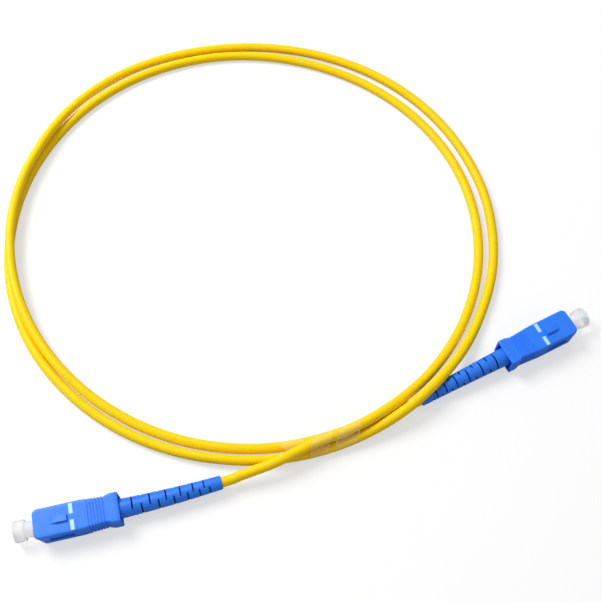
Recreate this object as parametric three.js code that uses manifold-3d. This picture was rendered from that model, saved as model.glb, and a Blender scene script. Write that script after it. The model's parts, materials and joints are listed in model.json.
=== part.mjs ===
// Simplex fibre-optic patch cord: one 3 mm cable wound into a two-turn ring, with a push-pull
// plug of the 2.5 mm ferrule type on each end and a dust cap on each plug.
// Millimetres, +Z up. The origin is on the floor, midway between the two plugs.
//
// Each plug is modelled in its own frame: X runs back from the front face of the grip along the
// fibre, Y is across the wide faces, Z is up towards the key, and the fibre lies on the X axis.
import * as THREE from 'three';
import { mergeVertices } from 'three/addons/utils/BufferGeometryUtils.js';
import Module from 'manifold-3d';

const wasm = await Module();
wasm.setup();

// ---- Driving sizes ----

// Clearances: between pieces fixed in each other, on each side of pieces that slide,
// and between faces that meet.
const seat_gap = 0.05;
const slide_gap = 0.1;
const face_gap = 0.3;

// Cable: outer jacket, its bore, and the buffered fibre in it.
const cable_diameter = 3;
const jacket_bore = 1.9;
const buffer_diameter = 0.9;
const buffer_in_jacket = 6.5;

// Grip: the push-pull housing that the fingers hold.
const grip_length = 25.4;
const grip_width = 9;
const grip_height = 7.4;
const grip_corner = 1.5;
const grip_edge = 0.5;
const roof_thickness = 0.9;
const mouth_top = 1;
const mouth_bottom = 2;
const window_start = 4;
const window_end = 11.2;
const window_height = 2.6;
const waist_start = 14;
const waist_depth = 0.5;
const flare_length = 1.6;
const groove_setback = 2.1;
const groove_count = 6;
const groove_pitch = 0.94;
const groove_width = 0.45;
const groove_depth = 0.2;
const groove_margin = 0.1;
const rear_room_width = 7.6;
const rear_room_height = 6.4;
const key_start = 5;
const key_length = 5.1;
const key_width = 1.9;
const key_height = 0.8;
const key_ramp = 2;

// Plug frame: the fixed inner body that an adapter grips.
const frame_setback = 2.6;
const frame_inset = 5.6;
const frame_width = 6.8;
const frame_height = 5.8;
const frame_chamfer = 0.5;
const frame_bore = 5;
const frame_shoulder = 1;
const lug_start = 8.4;
const lug_length = 1.5;
const lug_width = 2.2;
const lug_height = 0.4;

// Ferrule and its flange.
const ferrule_setback = 0.8;
const ferrule_diameter = 2.5;
const ferrule_length = 10.5;
const ferrule_free_length = 7;
const ferrule_chamfer = 0.35;
const ferrule_travel = 1.5;
const collar_diameter = 4.4;
const collar_length = 2;
const keyway_width = 0.8;
const keyway_depth = 0.4;
const tail_diameter = 2.9;
const tail_engagement = 1.2;

// Spring behind the flange.
const spring_wire = 0.45;
const spring_diameter = 3.75;
const spring_curls = 7;

// Stop ring behind the spring, with its crimp barrel.
const stop_plug_length = 4.1;
const stop_disc_diameter = 5.6;
const stop_disc_thickness = 0.8;
const barb_start = 1.2;
const barb_length = 1.6;
const barb_width = 1.8;
const barb_height = 0.6;
const barrel_diameter = 3.8;
const barrel_length = 4.8;
const barrel_bore = 1.6;

// Aramid yarn and crimp sleeve.
const yarn_thickness = 0.2;
const sleeve_wall = 0.22;
const sleeve_cone = 1.2;
const sleeve_neck = 2;

// Boot: the slotted strain relief. Its slots are cut from both sides at once, down to flat
// floors beside the cable, and each pair is turned a quarter from the pair before.
const boot_exposed = 31;
const boot_root_diameter = 5.9;
const boot_tip_diameter = 4.2;
const slot_count = 12;
const slot_first = 3.8;
const slot_margin = 3.8;
const slot_pitch_drop = 0.125;
const slot_width = 0.5;
const slot_floor = 1.45;

// Dust cap.
const knob_diameter = 6.4;
const knob_length = 3.44;
const knob_standoff = 2.76;
const knob_edge = 0.5;
const cap_stem_diameter = 4.6;
const cap_cover = 5.5;
const cap_bore_end = 1.2;

// Ring of cable: a slightly uneven circle, two lanes wide. Angles in degrees from +X.
const ring_centre = new THREE.Vector2(-23.94, 69.73);
const ring_radius = 81.68;
const oval_height = 1.37;
const oval_turn = -25.9;
const pear_height = 0.43;
const pear_turn = 34.3;
const start_lane = -1.85;
const coil_start = -41;
const coil_end = 649;
const coil_step = 5;
const coil_sides = 6;
const joint_run = 2;

// Shifts of the strand between lanes: from one angle to another, and how far outwards.
const lane_moves = [
  [-30, 55, -1.4], [62, 102, 0.8], [146, 222, 4.2], [236, 268, -0.35], [290, 312, 0.95],
  [336, 352, 0.6], [368, 384, -0.3], [400, 460, -0.95], [462, 488, 0.6], [484, 520, -3.55],
  [568, 618, -1.05],
];

// Humps: the second turn passes over lead b and its boot, and then over the first turn. Each
// has its height, the angles where it rises and those where it falls.
const humps = [[4.45, 290, 316, 316, 336], [3.45, 484, 518, 544, 614]];

const bundle_angle = -71;
const bundle_half_angle = 22;
const bundle_ease = 12;

// Film bands round the strands, each between two angles of the ring.
const film_angles = [[-79.8, -76.1], [-74.3, -69.3], [-67.6, -62.8]];
const film_gap = 0.2;
const film_wall = 0.15;
const film_sides = 20;

const round_sides = 24;
const small_sides = 16;
const cable_sides = 8;
const bottom_rise = film_gap + film_wall + seat_gap;

// The two ends. Position of the grip's front face on the floor, and the heading of the cable
// from it; how far the boot's tip bends aside and droops; and how far the boot is rolled.
const end_a = { letter: 'a', x: -83.17, y: -34.6, heading: 13.48, aside: 1.14, droop: 0, roll: 68 };
const end_b = { letter: 'b', x: 83.07, y: 33.55, heading: 207.79, aside: 0, droop: 1.5, roll: 69 };

// Stretches of cable that lie free, as points that they pass through.
const lead_a_points = [
  [-23, -18.35, 4.1], [-20, -17.3, 4.5], [-16.4, -16.05, 5], [-12.5, -14.5, 5.35],
  [-8.6, -12.6, 5.55], [-4.94, -10.64, 5.5], [-1.56, -8.83, 5.4], [1.83, -7.29, 5.3],
  [5.5, -5.79, 5.3], [9.67, -4.02, 5.35], [14.15, -1.91, 5.4], [17.83, 0.21, 5.4],
  [21.38, 2.54, 5.2], [24.84, 5, 4.8], [28.07, 7.75, 3.95], [30.8, 10.41, 2.85],
  [33.89, 13.49, 1.95],
];
const lead_b_points = [
  [5.98, -4.33, 2], [9.92, -2.88, 1.95], [13.88, -1.4, 1.85], [17.3, -0.27, 1.8],
  [20.71, 0.98, 1.75], [24.19, 2.51, 1.75], [27.31, 4.14, 1.85], [30.21, 5.66, 2],
];
const lead_a_steps = 32;
const lead_b_steps = 12;

// ---- Places along the plug, worked out from the sizes ----

const groove_start = waist_start + groove_setback;
const waist_end = groove_start + (groove_count - 1) * groove_pitch + groove_width + groove_margin;
const ferrule_front = ferrule_setback;
const ferrule_rear = ferrule_front + ferrule_length;
const flange_front = ferrule_front + ferrule_free_length;
const collar_rear = flange_front + collar_length;
const frame_rear = grip_length - frame_inset;
const stop_front = frame_rear - stop_plug_length;
const spring_front = collar_rear + slide_gap;
const spring_length = stop_front - slide_gap - spring_front;
const tail_rear = stop_front + tail_engagement;
const disc_front = frame_rear + slide_gap;
const disc_rear = disc_front + stop_disc_thickness;
const barrel_rear = disc_rear + barrel_length;
const jacket_front = barrel_rear + face_gap;
const yarn_bore = barrel_diameter + 2 * seat_gap;
const yarn_outer = yarn_bore + 2 * yarn_thickness;
const sleeve_bore = yarn_outer + 2 * seat_gap;
const sleeve_front = disc_rear + slide_gap;
const neck_front = barrel_rear + face_gap + sleeve_cone;
const sleeve_rear = neck_front + sleeve_neck;
const cable_bore = cable_diameter + 2 * slide_gap;
const boot_front = disc_rear + face_gap;
const boot_rear = grip_length + boot_exposed;
const slot_run = boot_exposed - slot_first - slot_margin;
const slot_pitch = slot_run / (slot_count - 1) + (slot_pitch_drop * (slot_count - 2)) / 2;
const passage_width = frame_width + 2 * slide_gap;
const passage_height = frame_height + 2 * slide_gap;
const passage_end = frame_rear + face_gap;

// ---- Shapes ----

// A closed geometry as a solid that can be cut and joined.
function solid(geometry) {
  const bare = geometry.index ? geometry.toNonIndexed() : geometry.clone();
  bare.deleteAttribute('normal');
  bare.deleteAttribute('uv');
  const merged = mergeVertices(bare, 1e-4);
  const vertProperties = merged.attributes.position.array;
  const triVerts = new Uint32Array(merged.index.array);
  return new wasm.Manifold(new wasm.Mesh({ numProp: 3, vertProperties, triVerts }));
}

// A solid's surface as a geometry.
function surface(body) {
  const mesh = body.getMesh();
  const geometry = new THREE.BufferGeometry();
  const stride = mesh.numProp;
  const count = mesh.vertProperties.length / stride;
  const positions = new Float32Array(3 * count);
  for (let i = 0; i < count; i += 1) {
    positions.set(mesh.vertProperties.subarray(i * stride, i * stride + 3), 3 * i);
  }
  geometry.setAttribute('position', new THREE.BufferAttribute(positions, 3));
  geometry.setIndex(new THREE.BufferAttribute(new Uint32Array(mesh.triVerts), 1));
  return geometry;
}

// A turned solid about the X axis. The profile lists [x, radius], forwards along the outside
// and back along the bore.
function turned(profile, sides = round_sides) {
  const points = profile.map(([x, radius]) => new THREE.Vector2(radius, x));
  points.push(points[0].clone());
  return solid(new THREE.LatheGeometry(points, sides).rotateZ(-Math.PI / 2));
}

// A block between two corners.
function block(x0, x1, y0, y1, z0, z1) {
  const box = new THREE.BoxGeometry(x1 - x0, y1 - y0, z1 - z0);
  return solid(box.translate((x0 + x1) / 2, (y0 + y1) / 2, (z0 + z1) / 2));
}

// An outline drawn in X and Y, given a height along Z.
function slab(outline, z0, z1) {
  const shape = new THREE.Shape(outline.map(([x, y]) => new THREE.Vector2(x, y)));
  const geometry = new THREE.ExtrudeGeometry(shape, { depth: z1 - z0, bevelEnabled: false });
  return geometry.translate(0, 0, z0);
}

// An outline drawn in Y and Z, run along X: a rectangle with its four corners cut off.
function bar(x0, x1, width, height, cut) {
  const [y, z] = [width / 2, height / 2];
  const outline = [
    [-y + cut, -z], [y - cut, -z], [y, -z + cut], [y, z - cut],
    [y - cut, z], [-y + cut, z], [-y, z - cut], [-y, -z + cut],
  ];
  const geometry = slab(outline, x0, x1);
  const turn = new THREE.Matrix4().set(0, 0, 1, 0, 1, 0, 0, 0, 0, 1, 0, 0, 0, 0, 0, 1);
  return solid(geometry.applyMatrix4(turn));
}

// A round tube through a list of points. Each ring turns with the path, and both ends are capped.
function roundTube(points, radius, sides, up) {
  const positions = [];
  const index = [];
  const last = points.length - 1;
  points.forEach((point, i) => {
    const tangent = points[Math.min(i + 1, last)].clone().sub(points[Math.max(i - 1, 0)]).normalize();
    const side = new THREE.Vector3().crossVectors(tangent, up(point)).normalize();
    const rise = new THREE.Vector3().crossVectors(side, tangent);
    for (let k = 0; k < sides; k += 1) {
      const turn = (2 * Math.PI * k) / sides;
      const out = rise.clone().multiplyScalar(-Math.cos(turn)).addScaledVector(side, Math.sin(turn));
      positions.push(...point.clone().addScaledVector(out, radius).toArray());
    }
  });
  for (let i = 0; i < last; i += 1) {
    for (let k = 0; k < sides; k += 1) {
      const a = i * sides + k;
      const b = i * sides + ((k + 1) % sides);
      index.push(a, b + sides, b, a, a + sides, b + sides);
    }
  }
  for (let k = 1; k < sides - 1; k += 1) {
    index.push(0, k, k + 1);
    index.push(last * sides, last * sides + k + 1, last * sides + k);
  }
  const geometry = new THREE.BufferGeometry();
  geometry.setAttribute('position', new THREE.Float32BufferAttribute(positions, 3));
  geometry.setIndex(index);
  return geometry;
}

function smooth(t) {
  const u = Math.min(Math.max(t, 0), 1);
  return u * u * (3 - 2 * u);
}

// ---- Grip ----

// One long edge of the grip's outline: full, then drawn in at the waist, with finger grooves.
function gripEdge(half, depth) {
  const reach = (x) => {
    if (x <= waist_start) return half;
    if (x <= waist_end) return half - (depth * (x - waist_start)) / (waist_end - waist_start);
    return Math.min(half, half - depth * (1 - (x - waist_end) / flare_length));
  };
  const points = [[waist_start, half]];
  for (let i = 0; i < groove_count; i += 1) {
    const x = groove_start + i * groove_pitch;
    const end = x + groove_width;
    points.push([x, reach(x)], [x, reach(x) - groove_depth]);
    points.push([end, reach(end) - groove_depth], [end, reach(end)]);
  }
  points.push([waist_end, half - depth], [waist_end + flare_length, half], [grip_length, half]);
  return points;
}

// The grip's outline seen along an axis that crosses it, with rounded or square front corners.
function gripOutline(half, depth, corner) {
  const front = [];
  for (let k = 0; k <= 4; k += 1) {
    const turn = (Math.PI / 8) * k;
    front.push([corner * (1 - Math.cos(turn)), half - corner * (1 - Math.sin(turn))]);
  }
  const far = [...front, ...gripEdge(half, depth)];
  const near = far.map(([x, y]) => [x, -y]).reverse();
  return [...near, ...far];
}

function gripBody() {
  const [y, z] = [grip_width / 2, grip_height / 2];
  const plan = solid(slab(gripOutline(y, waist_depth, grip_corner), -z, z));
  const side = slab(gripOutline(z, 0, grip_edge / 2), -y, y).rotateX(Math.PI / 2);
  let body = plan.intersect(solid(side));
  body = body.intersect(bar(-1, grip_length + 1, grip_width, grip_height, grip_edge));
  const rib = [
    [key_start, z - roof_thickness / 2], [key_start, z], [key_start + key_ramp, z + key_height],
    [key_start + key_length, z + key_height], [key_start + key_length, z - roof_thickness / 2],
  ];
  const key = slab(rib, -key_width / 2, key_width / 2).rotateX(Math.PI / 2);
  body = body.add(solid(key));
  body = body.subtract(block(-1, passage_end, -passage_width / 2, passage_width / 2,
    -passage_height / 2, passage_height / 2));
  const inner = boot_root_diameter + 2 * face_gap;
  body = body.subtract(block(passage_end - 1, waist_end + flare_length + 1, -inner / 2, inner / 2,
    -inner / 2 + face_gap / 2, inner / 2 - face_gap / 2));
  body = body.subtract(bar(waist_end + flare_length, grip_length + 1, rear_room_width,
    rear_room_height, grip_edge));
  const mouth = [
    [-1, -z - 1], [mouth_bottom, -z - 1], [mouth_bottom, -z], [mouth_top, z - roof_thickness],
    [-1, z - roof_thickness],
  ];
  body = body.subtract(solid(slab(mouth, -y - 1, y + 1).rotateX(Math.PI / 2)));
  return body.subtract(block(window_start, window_end, -y - 1, y + 1, -window_height / 2,
    window_height / 2));
}

// ---- Plug frame ----

function plugFrame() {
  const half = frame_width / 2;
  const shoulder_rear = flange_front - seat_gap;
  const shoulder_front = shoulder_rear - frame_shoulder;
  let body = bar(frame_setback, frame_rear, frame_width, frame_height, frame_chamfer);
  for (const side of [-1, 1]) {
    const edges = [side * (half - frame_chamfer), side * (half + lug_height)].sort((a, b) => a - b);
    body = body.add(block(lug_start, lug_start + lug_length, ...edges, -lug_width / 2, lug_width / 2));
  }
  const bore = frame_bore / 2;
  body = body.subtract(turned([[frame_setback - 1, 0], [frame_setback - 1, bore],
    [shoulder_front, bore], [shoulder_front, 0]]));
  body = body.subtract(turned([[shoulder_rear, 0], [shoulder_rear, bore],
    [frame_rear + 1, bore], [frame_rear + 1, 0]]));
  const hole = ferrule_diameter / 2 + face_gap;
  body = body.subtract(turned([[shoulder_front - 1, 0], [shoulder_front - 1, hole],
    [shoulder_rear + 1, hole], [shoulder_rear + 1, 0]]));
  const gap = seat_gap;
  return body.subtract(block(stop_front + barb_start - gap, stop_front + barb_start + barb_length + gap,
    -half - 1, half + 1, -barb_width / 2 - gap, barb_width / 2 + gap));
}

// ---- Ferrule, flange, buffer and spring ----

function ferrule() {
  const radius = ferrule_diameter / 2;
  const bore = buffer_diameter / 2 + seat_gap;
  const seat = flange_front + seat_gap;
  return turned([[ferrule_front, 0], [ferrule_front, radius - ferrule_chamfer],
    [ferrule_front + ferrule_chamfer, radius], [ferrule_rear, radius], [ferrule_rear, bore],
    [seat, bore], [seat, 0]]);
}

function ferruleFlange() {
  const seat = ferrule_diameter / 2 + seat_gap;
  const bore = buffer_diameter / 2 + seat_gap;
  const step = ferrule_rear + seat_gap;
  const collar = collar_diameter / 2;
  let body = turned([[flange_front, seat], [flange_front, collar], [collar_rear, collar],
    [collar_rear, tail_diameter / 2], [tail_rear, tail_diameter / 2], [tail_rear, bore],
    [step, bore], [step, seat]]);
  for (let i = 0; i < 4; i += 1) {
    const keyway = block(flange_front - 1, collar_rear, collar - keyway_depth, collar + 1,
      -keyway_width / 2, keyway_width / 2);
    body = body.subtract(keyway.rotate([90 * i, 0, 0]));
  }
  return body;
}

function fibreBuffer() {
  const radius = buffer_diameter / 2;
  const front = flange_front + 2 * seat_gap;
  const rear = jacket_front + buffer_in_jacket;
  return turned([[front, 0], [front, radius], [rear, radius], [rear, 0]], small_sides);
}

function ferruleSpring() {
  const steps = 8 * spring_curls;
  const radius = spring_diameter / 2;
  const run = spring_length - spring_wire;
  const points = [];
  for (let i = 0; i <= steps; i += 1) {
    const turn = (2 * Math.PI * i) / 8;
    const x = spring_front + spring_wire / 2 + (run * i) / steps;
    points.push(new THREE.Vector3(x, radius * Math.cos(turn), radius * Math.sin(turn)));
  }
  return roundTube(points, spring_wire / 2, 5, () => new THREE.Vector3(1, 0, 0));
}

// ---- Stop ring, yarn and crimp sleeve ----

function stopRing() {
  const plug = frame_bore / 2 - slide_gap;
  const barrel = barrel_diameter / 2;
  const tail = tail_diameter / 2 + slide_gap;
  const tail_room = tail_rear + ferrule_travel + face_gap;
  let body = turned([[stop_front, tail], [stop_front, plug], [disc_front, plug],
    [disc_front, stop_disc_diameter / 2], [disc_rear, stop_disc_diameter / 2], [disc_rear, barrel],
    [barrel_rear, barrel], [barrel_rear, barrel_bore / 2], [tail_room, barrel_bore / 2],
    [tail_room, tail]]);
  for (const side of [-1, 1]) {
    const edges = [side * (plug - 0.3), side * (plug + barb_height)].sort((a, b) => a - b);
    body = body.add(block(stop_front + barb_start, stop_front + barb_start + barb_length,
      ...edges, -barb_width / 2, barb_width / 2));
  }
  return body;
}

function aramidYarn() {
  const rear = barrel_rear;
  return turned([[sleeve_front, yarn_bore / 2], [sleeve_front, yarn_outer / 2],
    [rear, yarn_outer / 2], [rear, yarn_bore / 2]], small_sides);
}

function crimpSleeve() {
  const wide = sleeve_bore / 2;
  const neck = cable_diameter / 2 + seat_gap;
  return turned([[sleeve_front, wide], [sleeve_front, wide + sleeve_wall],
    [barrel_rear + face_gap, wide + sleeve_wall], [neck_front, neck + sleeve_wall],
    [sleeve_rear, neck + sleeve_wall], [sleeve_rear, neck], [neck_front, neck],
    [barrel_rear + face_gap, wide]]);
}

// ---- Boot and the cable end in it ----

// Bends what lies behind the grip: a straight axis becomes an arc that ends aside and low.
function bent(geometry, end) {
  const places = geometry.attributes.position;
  for (let i = 0; i < places.count; i += 1) {
    const s = Math.max(places.getX(i) - grip_length, 0) / boot_exposed;
    const [aside, drop] = [end.aside * s * s, end.droop * s * s];
    const [turn, dip] = [(2 * end.aside * s) / boot_exposed, (2 * end.droop * s) / boot_exposed];
    const [y, z] = [places.getY(i), places.getZ(i)];
    places.setXYZ(i, places.getX(i) - y * turn + z * dip, y + aside, z - drop);
  }
  return geometry;
}

function boot(end) {
  const root = boot_root_diameter / 2;
  const tip = boot_tip_diameter / 2;
  const outer = (x) => root + ((tip - root) * Math.max(x - grip_length, 0)) / boot_exposed;
  const wide = sleeve_bore / 2 + sleeve_wall + slide_gap;
  const bore = cable_bore / 2;
  const cavity_rear = sleeve_rear + face_gap;
  const profile = [[boot_front, wide], [boot_front, root], [grip_length, root]];
  for (let i = 1; i <= 4; i += 1) {
    const x = grip_length + (boot_exposed * i) / 4;
    profile.push([x, outer(x)]);
  }
  for (let i = 4; i >= 1; i -= 1) {
    profile.push([grip_length + (boot_exposed * i) / 4, bore]);
  }
  profile.push([cavity_rear, bore], [neck_front + face_gap, wide]);
  let body = turned(profile);
  let place = grip_length + slot_first;
  for (let i = 0; i < slot_count; i += 1) {
    const slot = block(place - slot_width / 2, place + slot_width / 2, slot_floor, root + 1,
      -root - 1, root + 1);
    const turn = end.roll + 90 * (i % 2);
    body = body.subtract(slot.rotate([turn, 0, 0])).subtract(slot.rotate([turn + 180, 0, 0]));
    place += slot_pitch - slot_pitch_drop * i;
  }
  return bent(surface(body), end);
}

function jacketEnd(end) {
  const profile = [];
  for (let i = 0; i <= 5; i += 1) {
    profile.push([jacket_front + ((boot_rear - jacket_front) * i) / 5, cable_diameter / 2]);
  }
  const bore = profile.map(([x]) => [x, jacket_bore / 2]).reverse();
  return bent(surface(turned([...profile, ...bore], small_sides)), end);
}

// ---- Dust cap ----

function dustCap() {
  const front = -knob_standoff - knob_length;
  const knob = knob_diameter / 2;
  const stem = cap_stem_diameter / 2;
  const bore = ferrule_diameter / 2 + slide_gap;
  const rear = ferrule_front + cap_cover;
  const bottom = ferrule_front - cap_bore_end;
  return turned([[front, 0], [front, knob - knob_edge], [front + knob_edge, knob],
    [-knob_standoff - knob_edge, knob], [-knob_standoff, knob - knob_edge], [-knob_standoff, stem],
    [rear, stem], [rear, bore], [bottom, bore], [bottom, 0]]);
}

// ---- Cable ring ----

function ringRadius(angle) {
  const oval = oval_height * Math.cos(THREE.MathUtils.degToRad(2 * (angle - oval_turn)));
  const pear = pear_height * Math.cos(THREE.MathUtils.degToRad(3 * (angle - pear_turn)));
  return ring_radius + oval + pear;
}

// The first turn starts inside and crosses under the second to the outside at the left. The
// second turn crosses over it to the inside.
function laneOffset(angle) {
  return lane_moves.reduce(
    (lane, [from, to, shift]) => lane + shift * smooth((angle - from) / (to - from)), start_lane);
}

// The strand's height: on the floor, over its neighbour in a hump, and a little up where
// film passes beneath it.
function strandHeight(angle) {
  const away = Math.abs(((angle - bundle_angle + 540) % 360) - 180);
  const lift = bottom_rise * (1 - smooth((away - bundle_half_angle) / bundle_ease));
  return humps.reduce((height, [top, rise, full, fall, down]) => height
    + top * smooth((angle - rise) / (full - rise)) * (1 - smooth((angle - fall) / (down - fall))),
  cable_diameter / 2 + lift);
}

function coilPoint(angle) {
  const turn = THREE.MathUtils.degToRad(angle);
  const radius = ringRadius(angle) + laneOffset(angle);
  return new THREE.Vector3(ring_centre.x + radius * Math.cos(turn),
    ring_centre.y + radius * Math.sin(turn), strandHeight(angle));
}

function coilAngles() {
  const angles = [coil_start, coil_start + joint_run];
  for (let angle = coil_start + coil_step; angle < coil_end - joint_run; angle += coil_step) {
    angles.push(angle);
  }
  angles.push(coil_end - joint_run, coil_end);
  return angles;
}

// The least gap between strands of the coil that lie side by side, measured on points
// along its centre line.
function leastCoilGap(points) {
  const samples = [];
  for (let i = 0; i + 1 < points.length; i += 1) {
    for (let k = 0; k < 10; k += 1) {
      samples.push({ place: points[i].clone().lerp(points[i + 1], k / 10), row: i + k / 10 });
    }
  }
  let least = Infinity;
  for (const a of samples) {
    for (const b of samples) {
      if (b.row - a.row > 4) least = Math.min(least, a.place.distanceTo(b.place));
    }
  }
  return least - cable_diameter;
}

const coil_angles = coilAngles();
const coil_points = coil_angles.map(coilPoint);
console.log(`least gap of the coil to itself: ${leastCoilGap(coil_points).toFixed(2)} mm`);

// ---- Leads ----

function plugPlace(end) {
  const group = new THREE.Group();
  group.position.set(end.x, end.y, grip_height / 2);
  group.rotation.z = THREE.MathUtils.degToRad(end.heading);
  group.updateMatrixWorld(true);
  return group;
}

// A point on the boot's own axis, or straight on from its tip.
function onBootAxis(end, beyond) {
  const turn = (2 * end.aside) / boot_exposed;
  const dip = (2 * end.droop) / boot_exposed;
  const local = new THREE.Vector3(boot_rear + beyond, end.aside + beyond * turn,
    -end.droop - beyond * dip);
  return local.applyMatrix4(plugPlace(end).matrixWorld);
}

function leadCurve(points) {
  return new THREE.CatmullRomCurve3(points, false, 'centripetal');
}

function joinPoint(angle, next, away) {
  const towards = coilPoint(next).sub(coilPoint(angle)).normalize();
  return coilPoint(angle).addScaledVector(towards, -away);
}

function lead(curve, steps) {
  const outline = [];
  for (let k = 0; k < cable_sides; k += 1) {
    const turn = (2 * Math.PI * (k + 0.5)) / cable_sides;
    outline.push(new THREE.Vector2(Math.cos(turn), Math.sin(turn)).multiplyScalar(cable_diameter / 2));
  }
  return new THREE.ExtrudeGeometry(new THREE.Shape(outline), {
    steps, bevelEnabled: false, extrudePath: curve,
  });
}

const curve_a = leadCurve([
  onBootAxis(end_a, face_gap), onBootAxis(end_a, cable_diameter),
  ...lead_a_points.map((p) => new THREE.Vector3(...p)),
  joinPoint(coil_start, coil_start + joint_run, face_gap),
]);
const curve_b = leadCurve([
  joinPoint(coil_end, coil_end - joint_run, face_gap),
  ...lead_b_points.map((p) => new THREE.Vector3(...p)),
  onBootAxis(end_b, cable_diameter), onBootAxis(end_b, face_gap),
]);

// ---- Film bands ----

function flatPlace(point) {
  const [x, y] = [point.x - ring_centre.x, point.y - ring_centre.y];
  return { angle: THREE.MathUtils.radToDeg(Math.atan2(y, x)), radius: Math.hypot(x, y), z: point.z };
}

// Where a path given by points crosses the upright plane at an angle of the ring.
function crossingAt(points, angle) {
  const places = points.map(flatPlace);
  for (let i = 0; i + 1 < places.length; i += 1) {
    const [a, b] = [places[i], places[i + 1]];
    if (a.angle <= angle && b.angle > angle && b.angle - a.angle < 90) {
      const before = a.radius * Math.sin(THREE.MathUtils.degToRad(angle - a.angle));
      const after = b.radius * Math.sin(THREE.MathUtils.degToRad(b.angle - angle));
      const point = points[i].clone().lerp(points[i + 1], before / (before + after));
      return flatPlace(point);
    }
  }
  throw new Error(`no strand at ${angle} degrees`);
}

// A ring of points round the strands at one angle, at a distance from their centre lines.
function filmRing(paths, angle, distance) {
  const centres = paths.map((points) => crossingAt(points, angle));
  const turn = THREE.MathUtils.degToRad(angle);
  const ring = [];
  for (let k = 0; k < film_sides; k += 1) {
    const lean = (2 * Math.PI * k) / film_sides;
    const [out, up] = [Math.cos(lean), Math.sin(lean)];
    const reach = centres.map((c) => c.radius * out + c.z * up);
    const held = centres[reach.indexOf(Math.max(...reach))];
    const radius = held.radius + distance * out;
    ring.push([ring_centre.x + radius * Math.cos(turn), ring_centre.y + radius * Math.sin(turn),
      held.z + distance * up]);
  }
  return ring;
}

function filmBand(paths, from, to) {
  const near = cable_diameter / 2 + film_gap;
  const far = near + film_wall;
  const rings = [
    filmRing(paths, from, far), filmRing(paths, to, far),
    filmRing(paths, to, near), filmRing(paths, from, near),
  ];
  const index = [];
  for (let r = 0; r < 4; r += 1) {
    for (let k = 0; k < film_sides; k += 1) {
      const a = r * film_sides + k;
      const b = r * film_sides + ((k + 1) % film_sides);
      const c = ((r + 1) % 4) * film_sides + ((k + 1) % film_sides);
      const d = ((r + 1) % 4) * film_sides + k;
      index.push(a, c, b, a, d, c);
    }
  }
  const geometry = new THREE.BufferGeometry();
  geometry.setAttribute('position', new THREE.Float32BufferAttribute(rings.flat(2), 3));
  geometry.setIndex(index);
  return geometry;
}

// ---- Assembly ----

function finish(color, roughness, metalness = 0) {
  return new THREE.MeshStandardMaterial({ color, roughness, metalness });
}

const grip_plastic = finish(0x2f7bf2, 0.45);
const frame_plastic = finish(0x1f55c0, 0.5);
const cap_plastic = finish(0xf0f3f4, 0.35);
const zirconia = finish(0xf7f6f2, 0.15);
const plated_metal = finish(0xc9ccd0, 0.3, 1);
const spring_steel = finish(0xb8bbc0, 0.3, 1);
const brass_crimp = finish(0xc8a45c, 0.35, 1);
const aramid = finish(0xe9c64a, 0.9);
const buffer_plastic = finish(0xf4f4f0, 0.5);
const boot_rubber = finish(0x2b6be0, 0.55);
const cable_jacket = finish(0xf6cf12, 0.5);
const film_clear = finish(0xf3e7cf, 0.3);

function node(name, shape, material) {
  const mesh = new THREE.Mesh(shape.isBufferGeometry ? shape : surface(shape), material);
  mesh.name = name;
  return mesh;
}

const shared_pieces = [
  ['dust_cap', dustCap(), cap_plastic],
  ['grip_housing', gripBody(), grip_plastic],
  ['plug_frame', plugFrame(), frame_plastic],
  ['ferrule', ferrule(), zirconia],
  ['ferrule_flange', ferruleFlange(), plated_metal],
  ['fibre_buffer', fibreBuffer(), buffer_plastic],
  ['ferrule_spring', ferruleSpring(), spring_steel],
  ['stop_ring', stopRing(), plated_metal],
  ['aramid_yarn', aramidYarn(), aramid],
  ['crimp_sleeve', crimpSleeve(), brass_crimp],
];

function plugEnd(end) {
  const group = plugPlace(end);
  for (const [name, shape, material] of shared_pieces) {
    group.add(node(`${name}_${end.letter}`, shape, material));
  }
  group.add(node(`boot_${end.letter}`, boot(end), boot_rubber));
  group.add(node(`jacket_end_${end.letter}`, jacketEnd(end), cable_jacket));
  return group;
}

const patch_cord = new THREE.Group();
patch_cord.add(plugEnd(end_a), plugEnd(end_b));

const coil_shape = roundTube(coil_points, cable_diameter / 2, coil_sides, () => new THREE.Vector3(0, 0, 1));
patch_cord.add(node('cable_coil', coil_shape, cable_jacket));
patch_cord.add(node('cable_lead_a', lead(curve_a, lead_a_steps), cable_jacket));
patch_cord.add(node('cable_lead_b', lead(curve_b, lead_b_steps), cable_jacket));

// The strands that each band holds: the coil's end of the first turn, its last stretch with
// lead b, and lead a.
const path_a = curve_a.getSpacedPoints(lead_a_steps);
const path_b = curve_b.getSpacedPoints(lead_b_steps);
const first_pass = coil_points.filter((_, i) => Math.abs(coil_angles[i] - 290) < 40);
const last_pass = [...coil_points.filter((_, i) => coil_angles[i] > 600), ...path_b];
const held_strands = [
  [first_pass, last_pass], [first_pass, last_pass, path_a], [first_pass, last_pass, path_a],
];
film_angles.forEach(([from, to], i) => {
  const band = filmBand(held_strands[i], from, to);
  patch_cord.add(node(`film_band_${i + 1}`, band, film_clear));
});

export default patch_cord;
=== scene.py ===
import json
import math

import bmesh
import bpy
import numpy as np
from mathutils import Matrix, Vector

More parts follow.
